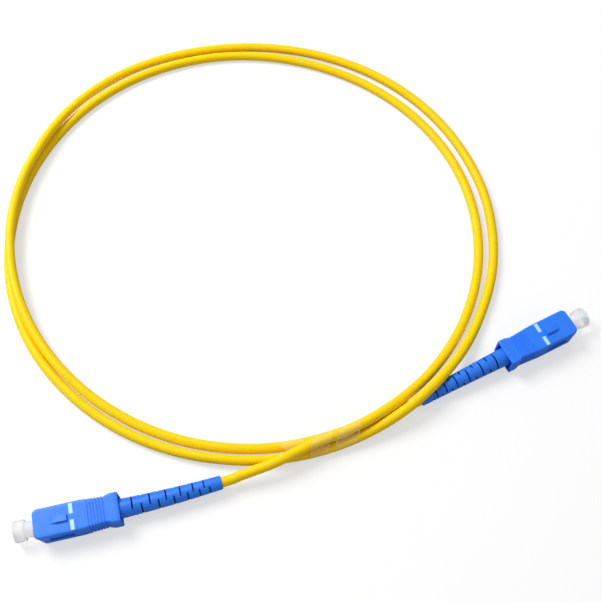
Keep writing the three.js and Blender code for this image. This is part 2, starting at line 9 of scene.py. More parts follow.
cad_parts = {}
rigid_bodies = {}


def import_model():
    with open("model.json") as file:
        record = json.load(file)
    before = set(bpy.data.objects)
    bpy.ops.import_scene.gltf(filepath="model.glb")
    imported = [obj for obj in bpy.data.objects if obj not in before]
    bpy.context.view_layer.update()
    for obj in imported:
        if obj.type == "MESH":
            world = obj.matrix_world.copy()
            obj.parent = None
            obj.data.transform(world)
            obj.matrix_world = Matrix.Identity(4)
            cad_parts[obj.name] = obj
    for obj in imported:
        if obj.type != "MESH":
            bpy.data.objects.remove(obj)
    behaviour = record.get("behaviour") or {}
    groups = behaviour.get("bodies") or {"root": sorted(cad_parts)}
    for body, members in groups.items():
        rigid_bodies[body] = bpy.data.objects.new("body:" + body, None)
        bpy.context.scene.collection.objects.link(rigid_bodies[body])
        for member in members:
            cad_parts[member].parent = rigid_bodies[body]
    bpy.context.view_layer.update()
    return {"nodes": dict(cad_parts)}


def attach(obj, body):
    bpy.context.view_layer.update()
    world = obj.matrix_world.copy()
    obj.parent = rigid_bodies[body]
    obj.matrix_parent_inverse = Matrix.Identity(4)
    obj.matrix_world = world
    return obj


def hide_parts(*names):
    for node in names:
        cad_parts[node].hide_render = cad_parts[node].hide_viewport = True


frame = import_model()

# ---- Camera ----
# The cord lies on a white table and is seen from in front and from 28 cm above it, looking
# steeply down, so that its ring looks a little flattened.

eye = Vector((-0.004975, -0.097135, 0.28213))
pitch = math.radians(63.56)
tilt = math.radians(0.49)
forward = Vector((0, math.cos(pitch), -math.sin(pitch)))
level_up = Vector((1, 0, 0)).cross(forward)
right = math.cos(tilt) * Vector((1, 0, 0)) + math.sin(tilt) * level_up
up = right.cross(forward)
lens = bpy.data.cameras.new("camera")
lens.sensor_width = 36
lens.lens = 55.88
camera = bpy.data.objects.new("camera", lens)
camera.matrix_world = Matrix.Translation(eye) @ Matrix((right, up, -forward)).transposed().to_4x4()
bpy.context.scene.collection.objects.link(camera)
bpy.context.scene.camera = camera

# ---- Cable ----
# Round cable with a smooth yellow extruded jacket, 3.0 mm nominal and 3.2 mm over the jacket,
# one length from inside boot a to inside boot b. It makes two turns side by side. The second
# turn climbs over lead b and its boot, and at the left it crosses over the first.

mm = 0.001
cable_radius = 1.6
cable_sides = 32
jacket_bore = 1.05
bore_depth = 9.5
jacket_front = 25.8
grip_length = 25.4
boot_exposed = 31
boot_rear = grip_length + boot_exposed
axis_height = 3.7
end_a = {"x": -83.17, "y": -34.6, "heading": 13.48, "aside": 1.14, "droop": 0, "roll": 68}
end_b = {"x": 83.07, "y": 33.55, "heading": 207.79, "aside": 0, "droop": 1.5, "roll": 69}

lead_a_points = [
    [-23, -18.35, 4.1], [-20, -17.3, 4.5], [-16.4, -16.05, 5], [-12.5, -14.5, 5.35],
    [-8.6, -12.6, 5.55], [-4.94, -10.64, 5.5], [-1.56, -8.83, 5.4], [1.83, -7.29, 5.3],
    [5.5, -5.79, 5.3], [9.67, -4.02, 5.35], [14.15, -1.91, 5.4], [17.83, 0.21, 5.4],
    [21.38, 2.54, 5.2], [24.84, 5, 4.8], [28.07, 7.75, 3.95], [30.8, 10.41, 2.85],
    [33.89, 13.49, 1.95],
]
lead_b_points = [
    [5.98, -4.33, 2], [9.92, -2.88, 1.95], [13.88, -1.4, 1.85], [17.3, -0.27, 1.8],
    [20.71, 0.98, 1.75], [24.19, 2.51, 1.75], [27.31, 4.14, 1.85], [30.21, 5.66, 2],
]
ring_centre = np.array([-23.94, 69.73])
ring_radius = 81.68
ring_waves = [[2, 1.37, -25.9], [3, 0.43, 34.3]]
start_lane = -1.85
lane_moves = [
    [-30, 55, -1.4], [62, 102, 0.8], [146, 222, 4.2], [236, 268, -0.35], [290, 312, 0.95],
    [336, 352, 0.6], [368, 384, -0.3], [400, 460, -0.95], [462, 488, 0.6], [484, 520, -3.55],
    [568, 618, -1.05],
]
humps = [[4.45, 290, 316, 316, 336], [3.45, 484, 518, 544, 614]]
film_angle = -71
film_lift = 0.4
lift_half = 22
lift_fade = 12
coil_start = -41
coil_end = 649
coil_step = 5


def smooth(t):
    """A soft step: 0 below 0, 1 above 1, and three t squared less two t cubed between them."""
    u = np.clip(t, 0, 1)
    return u * u * (3 - 2 * u)


def ring_points(angle):
    """Places of the strand at angles in degrees, counted on through both turns.

    The radius is a circle with two small waves, each with its number of lobes, its height
    and the angle of a lobe. Soft steps, each with its first and last angle and its shift,
    move the strand from lane to lane: the first turn goes from the inside to the outside,
    and the second goes back. The height is that of a cable on the table, with a hump where
    the second turn passes over lead b and one where it passes over the first turn, each
    with its top and the angles where it rises, is full, falls and is down. The strand lies
    slightly higher near the film, which passes beneath it.
    """
    turn = np.radians(angle)
    radius = ring_radius + start_lane
    for lobes, size, at in ring_waves:
        radius = radius + size * np.cos(lobes * (turn - math.radians(at)))
    for start, end, shift in lane_moves:
        radius = radius + shift * smooth((angle - start) / (end - start))
    away = np.abs((angle - film_angle + 180) % 360 - 180)
    height = cable_radius + film_lift * (1 - smooth((away - lift_half) / lift_fade))
    for top, rise, full, fall, down in humps:
        climb = smooth((angle - rise) / (full - rise))
        height = height + top * climb * (1 - smooth((angle - fall) / (down - fall)))
    flat = ring_centre + radius[:, None] * np.stack([np.cos(turn), np.sin(turn)], 1)
    return np.column_stack([flat, height])


def placed(points, end):
    """Points of a plug moved to its end of the cord: turned about the vertical by the
    heading, then shifted to the plug's place with the fibre at its height over the table."""
    turn = math.radians(end["heading"])
    x, y, z = np.moveaxis(np.asarray(points, float), -1, 0)
    across = end["x"] + x * math.cos(turn) - y * math.sin(turn)
    away = end["y"] + x * math.sin(turn) + y * math.cos(turn)
    return np.stack([across, away, axis_height + z], -1)


def bent(points, end):
    """What lies behind the grip follows a gentle arc: each point moves aside and down with
    the square of its distance, and its cross-section turns with the slope of the arc."""
    x, y, z = np.moveaxis(np.asarray(points, float), -1, 0)
    share = np.maximum(x - grip_length, 0) / boot_exposed
    turn = 2 * end["aside"] * share / boot_exposed
    dip = 2 * end["droop"] * share / boot_exposed
    moved = [x - y * turn + z * dip, y + end["aside"] * share**2, z - end["droop"] * share**2]
    return np.stack(moved, -1)


def boot_axis(end):
    """Points on the line through a boot, from the crimp to a little past the tip."""
    x = np.append(np.linspace(jacket_front, boot_rear, 9), boot_rear + 2 * cable_radius)
    line = np.zeros((len(x), 3))
    line[:, 0] = np.minimum(x, boot_rear)
    line = bent(line, end)
    beyond = np.maximum(x - boot_rear, 0)
    line[:, 0] += beyond
    line[:, 1] += beyond * 2 * end["aside"] / boot_exposed
    line[:, 2] -= beyond * 2 * end["droop"] / boot_exposed
    return placed(line, end)


def curve_through(points, steps):
    """One smooth curve through points. Each span is a cubic whose end slopes come from the
    neighbouring points, weighted by the square root of the distances between them."""
    p = np.vstack([2 * points[0] - points[1], points, 2 * points[-1] - points[-2]])
    gap = np.sqrt(np.linalg.norm(np.diff(p, axis=0), axis=1))[:, None]
    chord = np.diff(p, axis=0) / gap
    bridge = (p[2:] - p[:-2]) / (gap[1:] + gap[:-1])
    slope = chord[:-1] - bridge + chord[1:]
    start, end = p[1:-2, None], p[2:-1, None]
    leave, arrive = slope[:-1, None] * gap[1:-1, None], slope[1:, None] * gap[1:-1, None]
    t = (np.arange(steps) / steps)[None, :, None]
    cubic = (2 * t**3 - 3 * t**2 + 1) * start + (t**3 - 2 * t**2 + t) * leave
    cubic = cubic + (3 * t**2 - 2 * t**3) * end + (t**3 - t**2) * arrive
    return np.vstack([cubic.reshape(-1, 3), points[-1:]])


def round_skin(path, radius, sides, rows=None):
    """Grid of points round a path: a circle in the plane across the path at each row, with
    its first point at the top. rows picks path points, so that a row may come twice."""
    along = np.gradient(path, axis=0)
    along /= np.linalg.norm(along, axis=1)[:, None]
    side = np.cross(along, [0.0, 0.0, 1.0])
    side /= np.linalg.norm(side, axis=1)[:, None]
    rise = np.cross(side, along)
    rows = np.arange(len(path)) if rows is None else rows
    turn = np.linspace(0, 2 * np.pi, sides, endpoint=False)[None, :, None]
    ring = rise[rows, None] * np.cos(turn) + side[rows, None] * np.sin(turn)
    return path[rows, None] + ring * np.broadcast_to(radius, len(rows))[:, None, None]


def grid_faces(rows, columns, kept=None):
    """Corner numbers of the cells of a grid whose columns close on themselves."""
    r, c = np.mgrid[0 : rows - 1, 0:columns]
    if kept is not None:
        r, c = r[kept], c[kept]
    r, c = r.ravel(), c.ravel()
    n = (c + 1) % columns
    return np.stack([r * columns + c, r * columns + n, (r + 1) * columns + n, (r + 1) * columns + c], 1)


def make_piece(name, points, faces, maps=None, crease=35):
    """A piece from points in millimetres: doubled points at poles and steps are merged,
    every face points outwards, and edges sharper than the crease angle stay crisp."""
    mesh = bpy.data.meshes.new(name)
    mesh.from_pydata((points.reshape(-1, 3) * mm).tolist(), [], faces.tolist())
    if maps is not None:
        layer = mesh.uv_layers.new(name="surface")
        layer.data.foreach_set("uv", maps.astype(np.float32).ravel())
    body = bmesh.new()
    body.from_mesh(mesh)
    bmesh.ops.remove_doubles(body, verts=body.verts, dist=1e-6)
    bmesh.ops.dissolve_degenerate(body, edges=body.edges, dist=1e-7)
    bmesh.ops.recalc_face_normals(body, faces=body.faces)
    body.to_mesh(mesh)
    body.free()
    mesh.polygons.foreach_set("use_smooth", np.ones(len(mesh.polygons), bool))
    mesh.set_sharp_from_angle(angle=math.radians(crease))
    piece = bpy.data.objects.new(name, mesh)
    bpy.context.scene.collection.objects.link(piece)
    return piece


def mottled(name, low, high, patch, rough, grain, relief, mapped=None, **sockets):
    """The finish of a surface. Broad noise mixes two close colours, fine noise varies the
    roughness between two values, and the same fine noise stands up as a relief in
    millimetres. patch and grain say how many times the noise repeats in a metre. mapped
    stretches the noise along the piece's own surface map, and otherwise it reads object
    coordinates. Anything else is a value of the shader under its own name."""
    material = bpy.data.materials.new(name)
    material.use_nodes = True
    nodes, link = material.node_tree.nodes, material.node_tree.links.new
    shader = nodes["Principled BSDF"]
    for socket, value in sockets.items():
        shader.inputs[socket.replace("_", " ")].default_value = value
    place = nodes.new("ShaderNodeTexCoord")
    mapping = nodes.new("ShaderNodeMapping")
    mapping.inputs["Scale"].default_value = mapped or (1, 1, 1)
    link(place.outputs["UV" if mapped else "Object"], mapping.inputs["Vector"])
    broad = nodes.new("ShaderNodeTexNoise")
    broad.inputs["Scale"].default_value = patch
    broad.inputs["Detail"].default_value = 3
    link(mapping.outputs["Vector"], broad.inputs["Vector"])
    ramp = nodes.new("ShaderNodeValToRGB")
    for stop, position, colour in zip(ramp.color_ramp.elements, (0.3, 0.7), (low, high)):
        stop.position = position
        stop.color = (*colour, 1)
    link(broad.outputs["Fac"], ramp.inputs["Fac"])
    link(ramp.outputs["Color"], shader.inputs["Base Color"])
    fine = nodes.new("ShaderNodeTexNoise")
    fine.inputs["Scale"].default_value = grain
    fine.inputs["Detail"].default_value = 4
    link(mapping.outputs["Vector"], fine.inputs["Vector"])
    spread = nodes.new("ShaderNodeMapRange")
    spread.inputs["To Min"].default_value = rough[0]
    spread.inputs["To Max"].default_value = rough[1]
    link(fine.outputs["Fac"], spread.inputs["Value"])
    link(spread.outputs["Result"], shader.inputs["Roughness"])
    bump = nodes.new("ShaderNodeBump")
    bump.inputs["Strength"].default_value = 0.5
    bump.inputs["Distance"].default_value = relief * mm
    link(fine.outputs["Fac"], bump.inputs["Height"])
    link(bump.outputs["Normal"], shader.inputs["Normal"])
    return material


def dress(piece, material, body="root", instead_of=()):
    """Gives a piece its finish, the body that it rides on and the solids that it
    stands for."""
    piece.data.materials.append(material)
    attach(piece, body)
    if instead_of:
        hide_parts(*instead_of)


coil_angles = np.arange(coil_start, coil_end + coil_step / 2, coil_step)
route = curve_through(
    np.vstack([
        boot_axis(end_a), lead_a_points, ring_points(coil_angles), lead_b_points,
        boot_axis(end_b)[::-1],
    ]), steps=6)
distance = np.append(0, np.cumsum(np.linalg.norm(np.diff(route, axis=0), axis=1)))

# The jacket is bored open at both ends: its rows start at the bottom of the bore, come out
# to the end face, run along the outside and go in again at the other end.
first_deep = np.searchsorted(distance, bore_depth)
last_deep = np.searchsorted(distance, distance[-1] - bore_depth)
last = len(route) - 1
cable_rows = np.concatenate([
    [first_deep, first_deep, 0], np.arange(len(route)), [last, last_deep, last_deep],
])
cable_radii = np.full(len(cable_rows), cable_radius)
cable_radii[[0, -1]] = 0
cable_radii[[1, 2, -2, -3]] = jacket_bore
cable_skin = round_skin(route, cable_radii, cable_sides, cable_rows)
cable_faces = grid_faces(len(cable_rows), cable_sides)
along = distance[cable_rows] * mm
lap = 2 * math.pi * cable_radius * mm / cable_sides
row, column = np.divmod(np.arange(len(cable_faces)), cable_sides)
cable_map = np.stack([
    np.stack([column * lap, along[row]], 1), np.stack([(column + 1) * lap, along[row]], 1),
    np.stack([(column + 1) * lap, along[row + 1]], 1), np.stack([column * lap, along[row + 1]], 1),
], 1)
cable = make_piece("cable", cable_skin, cable_faces, cable_map, crease=60)
jacket_yellow = mottled(
    "jacket_yellow", low=(0.97, 0.635, 0.001), high=(1.0, 0.68, 0.002), patch=60,
    rough=(0.36, 0.46), grain=2500, relief=0.015, mapped=(1, 0.25, 1), Specular_IOR_Level=0.18,
    Subsurface_Weight=0.4, Subsurface_Scale=0.0015, Subsurface_Radius=(1, 0.5, 0.02))
dress(cable, jacket_yellow,
      instead_of=["cable_coil", "cable_lead_a", "cable_lead_b", "jacket_end_a", "jacket_end_b"])

# ---- Buffered fibre ----
# The glass fibre's white 0.9 mm buffer runs out of the jacket, through the crimp barrel and
# the flange, up to the back of the ferrule. It moves with the ferrule.

ends = {"a": end_a, "b": end_b}
buffer_white = mottled(
    "buffer_white", low=(0.8, 0.8, 0.77), high=(0.86, 0.86, 0.84), patch=300,
    rough=(0.35, 0.5), grain=3000, relief=0.01)


def cad_finish(name, material):
    """Puts a finish on a solid that is kept as it is."""
    solid = frame["nodes"][name].data
    solid.materials.clear()
    solid.materials.append(material)


for letter in ends:
    cad_finish(f"fibre_buffer_{letter}", buffer_white)

# ---- Stop ring, aramid yarn and crimp sleeve ----
# The nickel-plated stop ring snaps into the frame with two barbs. The cable's yellow aramid
# yarn lies over its barrel, held there by a brass sleeve crimped on from outside.

nickel = mottled(
    "nickel", low=(0.62, 0.61, 0.58), high=(0.7, 0.69, 0.66), patch=400,
    rough=(0.18, 0.3), grain=4000, relief=0.006, Metallic=1)
aramid_gold = mottled(
    "aramid_gold", low=(0.62, 0.42, 0.08), high=(0.8, 0.58, 0.14), patch=2500,
    rough=(0.6, 0.85), grain=6000, relief=0.05)
crimp_brass = mottled(
    "crimp_brass", low=(0.55, 0.38, 0.14), high=(0.66, 0.47, 0.19), patch=500,
    rough=(0.25, 0.4), grain=3500, relief=0.01, Metallic=1)
for letter in ends:
    cad_finish(f"stop_ring_{letter}", nickel)
    cad_finish(f"aramid_yarn_{letter}", aramid_gold)
    cad_finish(f"crimp_sleeve_{letter}", crimp_brass)

# ---- Ferrule, flange and spring ----
# The ferrule is a ground white ceramic rod pressed into a plated flange with four keyways.
# A coil spring of seven turns behind the flange pushes it forwards against a shoulder.

ferrule_front = 0.8
ferrule_rear = 11.3
ferrule_radius = 1.25
tip_radius = 0.9
tip_chamfer = 0.35
buffer_hole = 0.5
flange_front = 7.8
hole_end = flange_front + 0.05
collar_rear = 9.8
stop_front = 15.7
spring_radius = 1.875
spring_inset = 0.33
spring_curls = 7
curl_steps = 24
wire_radius = 0.225
wire_sides = 10
turned_sides = 64


def softened(corners):
    """A profile of x, radius and rounding at each corner, with the corners drawn as arcs of
    six points: each is the curve between the two places at the rounding's distance from the
    corner, pulled towards it as a square of the way along."""
    corners = np.asarray(corners, float)
    place, pull = corners[:, :2], corners[:, 2:3]
    back, ahead = np.roll(place, 1, 0) - place, np.roll(place, -1, 0) - place
    back[0], ahead[-1] = 0, 0
    unit = [v / np.maximum(np.linalg.norm(v, axis=1)[:, None], 1e-9) for v in (back, ahead)]
    t = np.linspace(0, 1, 6)[None, :, None]
    arc = (1 - t) ** 2 * (unit[0] * pull)[:, None] + t**2 * (unit[1] * pull)[:, None]
    return (place[:, None] + arc).reshape(-1, 2)


def turned(corners):
    """Grid of points of a piece turned about the fibre: the softened profile swung round."""
    profile = softened(corners)
    turn = np.linspace(0, 2 * np.pi, turned_sides, endpoint=False)
    x = np.broadcast_to(profile[:, :1], (len(profile), turned_sides))
    return np.stack([x, profile[:, 1:] * np.cos(turn), profile[:, 1:] * np.sin(turn)], -1)


def helix(start, end, radius, curls):
    """Centre line of a spring: a circle that moves on evenly as it goes round."""
    turn = np.linspace(0, 2 * np.pi * curls, curl_steps * curls + 1)
    x = start + (end - start) * turn / turn[-1]
    return np.stack([x, radius * np.cos(turn), radius * np.sin(turn)], 1)


ceramic = mottled(
    "ceramic", low=(0.83, 0.82, 0.79), high=(0.87, 0.86, 0.83), patch=300,
    rough=(0.06, 0.12), grain=2000, relief=0.002, IOR=2.1)
spring_wire = mottled(
    "spring_wire", low=(0.5, 0.5, 0.5), high=(0.58, 0.58, 0.59), patch=900,
    rough=(0.2, 0.35), grain=5000, relief=0.006, Metallic=1)
for letter, end in ends.items():
    grid = turned([
        [ferrule_front, 0, 0], [ferrule_front, tip_radius, 0.1],
        [ferrule_front + tip_chamfer, ferrule_radius, 0.15], [ferrule_rear, ferrule_radius, 0.05],
        [ferrule_rear, buffer_hole, 0.02], [hole_end, buffer_hole, 0.02], [hole_end, 0, 0],
    ])
    piece = make_piece(f"ceramic_ferrule_{letter}", placed(grid, end), grid_faces(*grid.shape[:2]))
    dress(piece, ceramic, f"ferrule_unit_{letter}", [f"ferrule_{letter}"])
    cad_finish(f"ferrule_flange_{letter}", nickel)
    line = helix(collar_rear + spring_inset, stop_front - spring_inset, spring_radius, spring_curls)
    out = line * [0, 1, 1] / spring_radius
    ahead = np.gradient(line, axis=0)
    ahead /= np.linalg.norm(ahead, axis=1)[:, None]
    cross = np.cross(ahead, out)
    turn = np.linspace(0, 2 * np.pi, wire_sides, endpoint=False)[None, :, None]
    ring = out[:, None] * np.cos(turn) + cross[:, None] * np.sin(turn)
    wire = line[:, None] + wire_radius * ring
    wire = np.concatenate([0 * wire[:1] + line[0], wire, 0 * wire[-1:] + line[-1]])
    piece = make_piece(f"spring_{letter}", placed(wire, end), grid_faces(len(wire), wire_sides))
    dress(piece, spring_wire, "root", [f"ferrule_spring_{letter}"])

# ---- Plug frame ----
# The fixed inner body, a blue moulding of 6.8 by 5.8 mm with a round bore. It has a shoulder
# that the flange rests on, a latch lug on each side and a window on each side for the barbs.

frame_start = 2.6
frame_end = 19.8
frame_half_width = 3.4
frame_half_height = 2.9
frame_corner = 0.5
frame_bore = 2.5
shoulder_start = 6.75
shoulder_end = 7.75
shoulder_bore = 1.55
lug_start = 8.4
lug_end = 9.9
lug_root = frame_half_width - 0.1
lug_reach = 3.8
lug_half = 1.1
barb_window_start = 16.85
barb_window_end = 18.55
barb_window_half = 0.96
hair = 0.01


def loop_template(flat_sides, flat_top):
    """Columns of a rectangle with rounded corners: for each, how far along the straight
    parts it lies across and up, and which way its corner's arc points there."""
    arc = np.linspace(0, np.pi / 2, 7)[1:-1]
    side = np.asarray(flat_sides, float)
    top = np.asarray(flat_top, float)
    quarters = []
    for sign_y, sign_z in ((1, 1), (-1, 1), (-1, -1), (1, -1)):
        turn = arc if sign_y == sign_z else arc[::-1]
        quarters.append(np.stack([
            0 * turn + sign_y, 0 * turn + sign_z, sign_y * np.cos(turn), sign_z * np.sin(turn)], 1))
    right_side = np.stack([side * 0 + 1, side, side * 0 + 1, side * 0], 1)
    left_side = np.stack([side * 0 - 1, side[::-1], side * 0 - 1, side * 0], 1)
    top_side = np.stack([top[::-1], top * 0 + 1, top * 0, top * 0 + 1], 1)
    bottom_side = np.stack([top, top * 0 - 1, top * 0, top * 0 - 1], 1)
    return np.concatenate([
        right_side, quarters[0], top_side, quarters[1], left_side, quarters[2], bottom_side,
        quarters[3]])


def box_rows(x, half_width, half_height, corner, columns):
    """Grid of points of a bar along x whose rounded rectangle changes from row to row."""
    x, w, h, r = [np.broadcast_to(v, len(x))[:, None] for v in (x, half_width, half_height, corner)]
    y = columns[None, :, 0] * (w - r) + columns[None, :, 2] * r
    z = columns[None, :, 1] * (h - r) + columns[None, :, 3] * r
    return np.stack([np.broadcast_to(x, y.shape), y, z], -1)


def wall_between(outer, inner, kept):
    """Faces of a closed wall between two grids with the same rows and columns. Cells that
    are not kept stay open, and every edge between a kept and an open cell, and both ends,
    get a face across the wall."""
    rows, columns = outer.shape[:2]
    shell = grid_faces(rows, columns, kept)
    count = rows * columns
    edge = np.zeros((rows + 1, columns), bool)
    edge[1:-1] = kept
    r, c = np.nonzero(edge[1:] != edge[:-1])
    n = (c + 1) % columns
    near, far = r * columns + c, r * columns + n
    ends = np.stack([near, far, count + far, count + near], 1)
    r, c = np.nonzero(kept != np.roll(kept, 1, 1))
    low, high = r * columns + c, (r + 1) * columns + c
    sides = np.stack([low, high, count + high, count + low], 1)
    return np.vstack([outer.reshape(-1, 3), inner.reshape(-1, 3)]), np.vstack([
        shell, shell[:, ::-1] + count, ends, sides])


def block(x0, x1, y0, y1, z0, z1):
    """The eight corners and six faces of a small block from x0 to x1, y0 to y1 and z0 to z1."""
    points = np.array([[x, y, z] for x in (x0, x1) for y in (y0, y1) for z in (z0, z1)], float)
    faces = np.array([
        [0, 1, 3, 2], [4, 6, 7, 5], [0, 4, 5, 1], [2, 3, 7, 6], [0, 2, 6, 4], [1, 5, 7, 3]])
    return points, faces


def together(*shapes):
    """Several sets of points and faces as one."""
    start = np.cumsum([0] + [len(points) for points, _ in shapes])
    faces = [f + s for (_, f), s in zip(shapes, start)]
    return np.vstack([p for p, _ in shapes]), np.vstack(faces)


def edge_rounding(piece, width, segments=3):
    """Rounds the crisp edges of a moulded piece by a width in millimetres."""
    bevel = piece.modifiers.new("edges", "BEVEL")
    bevel.width = width * mm
    bevel.segments = segments
    bevel.limit_method = "ANGLE"
    bevel.angle_limit = math.radians(35)
    bevel.use_clamp_overlap = True
    bevel.harden_normals = True


barb = barb_window_half / (frame_half_height - frame_corner)
frame_sides = np.array([-1, -0.65, -barb, 0, barb, 0.65, 1])
frame_columns = loop_template(frame_sides, np.linspace(-1, 1, 7))

# The shoulder's two rows come twice, so that the bore narrows and widens in a step.
frame_x = np.array([
    frame_start, 4.4, shoulder_start, shoulder_start, shoulder_end, shoulder_end, 12.4,
    barb_window_start, barb_window_end, frame_end])
frame_bores = np.full(len(frame_x), frame_bore)
frame_bores[3:5] = shoulder_bore
frame_blue = mottled(
    "frame_blue", low=(0.012, 0.1, 0.5), high=(0.016, 0.125, 0.56), patch=300,
    rough=(0.38, 0.5), grain=2600, relief=0.02)
for letter, end in ends.items():
    outer = box_rows(frame_x, frame_half_width, frame_half_height, frame_corner, frame_columns)
    spread = np.arctan2(outer[..., 2], outer[..., 1])
    bore = frame_bores[:, None]
    inner = np.stack([outer[..., 0], bore * np.cos(spread), bore * np.sin(spread)], -1)
    kept = np.ones((len(frame_x) - 1, len(frame_columns)), bool)
    on_side = np.abs(outer[0, :, 1]) > frame_half_width - hair
    middle = on_side & (np.abs(outer[0, :, 2]) < barb_window_half + hair)
    kept[np.searchsorted(frame_x, barb_window_start)] = ~(middle & np.roll(middle, -1))
    lugs = [
        block(lug_start, lug_end, side * lug_root, side * lug_reach, -lug_half, lug_half)
        for side in (-1, 1)]
    points, faces = together(wall_between(outer, inner, kept), *lugs)
    piece = make_piece(f"inner_frame_{letter}", placed(points, end), faces)
    edge_rounding(piece, 0.08)
    dress(piece, frame_blue, "root", [f"plug_frame_{letter}"])

# ---- Grip housing ----
# The outer shell that the fingers hold, a blue moulding of 9.0 by 7.4 by 25.4 mm with a key
# rib on top, a roof over its slanted mouth, side windows, a drawn-in waist with finger
# grooves and a hollow rear. It slides 2 mm on the frame.

grip_half_width = 4.5
grip_half_height = 3.7
grip_corner = 0.5
hollow_corner = 0.15
front_corner = 1.5
front_edge = 0.25
rear_edge = 0.25
rear_edge_depth = 0.12
mouth_top = 1
mouth_bottom = 2
roof_under = 2.8
window_start = 4
window_end = 11.2
window_half = 1.3
waist_start = 14
waist_end = 21.35
waist_depth = 0.5
flare_end = 22.95
passage_end = 20.1
hollow_half_widths = np.array([3.5, 3.25, 3.8])
hollow_half_heights = np.array([3.0, 3.1, 3.2])
front_wall = 0.6
groove_starts = 16.1 + 0.94 * np.arange(6)
groove_profile = np.array([0, 0.1, 0.35, 0.45])
groove_depth = 0.2
rib_start = 4
rib_end = 10.1
rib_half = 0.95
rib_foot = grip_half_height - 0.4
rib_top = 4.5
rib_ramp = 3
side_heights = np.array([-3.2, -2.8, -2.1, -1.3, -0.65, 0, 0.65, 1.3, 2.1, 2.8, 3.2])
inner_heights = np.array([-2.85, -2.7, -2.1, -1.3, -0.65, 0, 0.65, 1.3, 2.1, 2.7, 2.85])
grip_columns = loop_template(side_heights / side_heights[-1], np.linspace(-1, 1, 13))

# Rows lie wherever the outline turns, with a few more between, and come twice at a step.
grip_x = np.sort(np.concatenate([
    [0, 0.06, 0.16, 0.3, 0.5, 0.75, mouth_top, 1.25, 1.5, 2, 3, window_start, 6, 8, window_end],
    [12.5, waist_start, 15], (groove_starts[:, None] + groove_profile).ravel(),
    [passage_end, passage_end, waist_end, 22.2, flare_end, flare_end, 23.6, 24.4],
    [grip_length - 0.25, grip_length - 0.1, grip_length]]))


def grip_outer(x):
    """Half width and half height of the shell along its length: full, with rounded front
    corners, drawn in evenly along the waist and flared out behind it, and drawn in a little
    more in each finger groove."""
    waist = waist_depth * np.interp(x, [waist_start, waist_end, flare_end], [0, 1, 0])
    since = (x[:, None] - groove_starts[None]).clip(-1, 1)
    groove = groove_depth * np.interp(since, groove_profile, [0, 1, 1, 0], 0, 0).max(1)
    corner, edge = [
        r - np.sqrt(r**2 - np.clip(r - x, 0, r) ** 2) for r in (front_corner, front_edge)]
    rear = rear_edge_depth * np.clip((x - grip_length + rear_edge) / rear_edge, 0, 1) ** 2
    wide = grip_half_width - waist - groove - corner - rear
    return wide, grip_half_height - groove - edge - rear


def grip_inner(x):
    """Half width and half height of the hollow: round the frame, then round the boot's
    root, then the wide room at the rear. Rows that come twice make the steps."""
    again = np.append(False, x[1:] == x[:-1])
    part = (x > passage_end).astype(int) + (x > flare_end)
    part = part + (again & ((x == passage_end) | (x == flare_end)))
    wide = hollow_half_widths[part]
    front = np.where(x < front_corner, grip_outer(x)[0] - front_wall, wide)
    return np.minimum(wide, front), hollow_half_heights[part]


def slanted_mouth(grid):
    """Below the roof the shell starts on a slant: the rows between the mouth and the window
    are drawn back evenly, most of all at the bottom."""
    x, z = grid[..., 0], grid[..., 2]
    below_roof = np.clip((roof_under - z) / (roof_under + grip_half_height), 0, 1)
    front = mouth_top + (mouth_bottom - mouth_top) * below_roof
    share = np.clip((window_start - x) / (window_start - mouth_top), 0, 1)
    grid[..., 0] = np.where(x < window_start, x + (front - mouth_top) * share, x)
    return grid


grip_blue = mottled(
    "grip_blue", low=(0.022, 0.2, 0.93), high=(0.027, 0.22, 0.98), patch=250,
    rough=(0.3, 0.42), grain=2400, relief=0.02, Specular_IOR_Level=0.4)
for letter, end in ends.items():
    wide, tall = grip_outer(grip_x)
    outer = box_rows(grip_x, wide, tall, grip_corner, grip_columns)
    wide, tall = grip_inner(grip_x)
    inner = box_rows(grip_x, wide, tall, hollow_corner, grip_columns)
    on_side = np.abs(grip_columns[:, 2]) == 1
    flat = grip_columns[on_side, 1] * side_heights[-1]
    inner[:, on_side, 2] = np.interp(flat, side_heights, inner_heights)
    start = grip_x[:-1, None]
    row = np.searchsorted(grip_x, window_start)
    low = np.minimum(outer[row, :, 2], np.roll(outer[row, :, 2], -1))[None]
    high = np.maximum(outer[row, :, 2], np.roll(outer[row, :, 2], -1))[None]
    window = (low > -window_half - hair) & (high < window_half + hair)
    window = window & (start >= window_start) & (start < window_end)
    kept = np.where(start < mouth_top, low > roof_under - hair, ~window)
    rib = block(rib_start, rib_end, -rib_half, rib_half, rib_foot, rib_top)
    front_top = (rib[0][:, 0] == rib_start) & (rib[0][:, 2] == rib_top)
    rib[0][front_top] += [rib_ramp, 0, 0]
    points, faces = together(
        wall_between(slanted_mouth(outer), slanted_mouth(inner), kept), rib)
    piece = make_piece(f"grip_{letter}", placed(points, end), faces)
    edge_rounding(piece, 0.1)
    dress(piece, grip_blue, f"grip_{letter}", [f"grip_housing_{letter}"])

# ---- White marks ----
# Two white bars printed across the top of each grip beside the key's rear end. They tell
# whether the plug is fully home in its socket.

mark_start = 10.85
mark_end = 12
mark_width = 3.1
mark_sides = (-4.03, 0.93)
mark_under = grip_half_height - 0.04
mark_over = grip_half_height + 0.02
mark_white = mottled(
    "mark_white", low=(0.42, 0.78, 0.98), high=(0.46, 0.82, 1.0), patch=500,
    rough=(0.35, 0.5), grain=3000, relief=0.004)
for letter, end in ends.items():
    bars = [
        block(mark_start, mark_end, y, y + mark_width, mark_under, mark_over) for y in mark_sides]
    points, faces = together(*bars)
    piece = make_piece(f"marks_{letter}", placed(points, end), faces)
    dress(piece, mark_white, f"grip_{letter}")

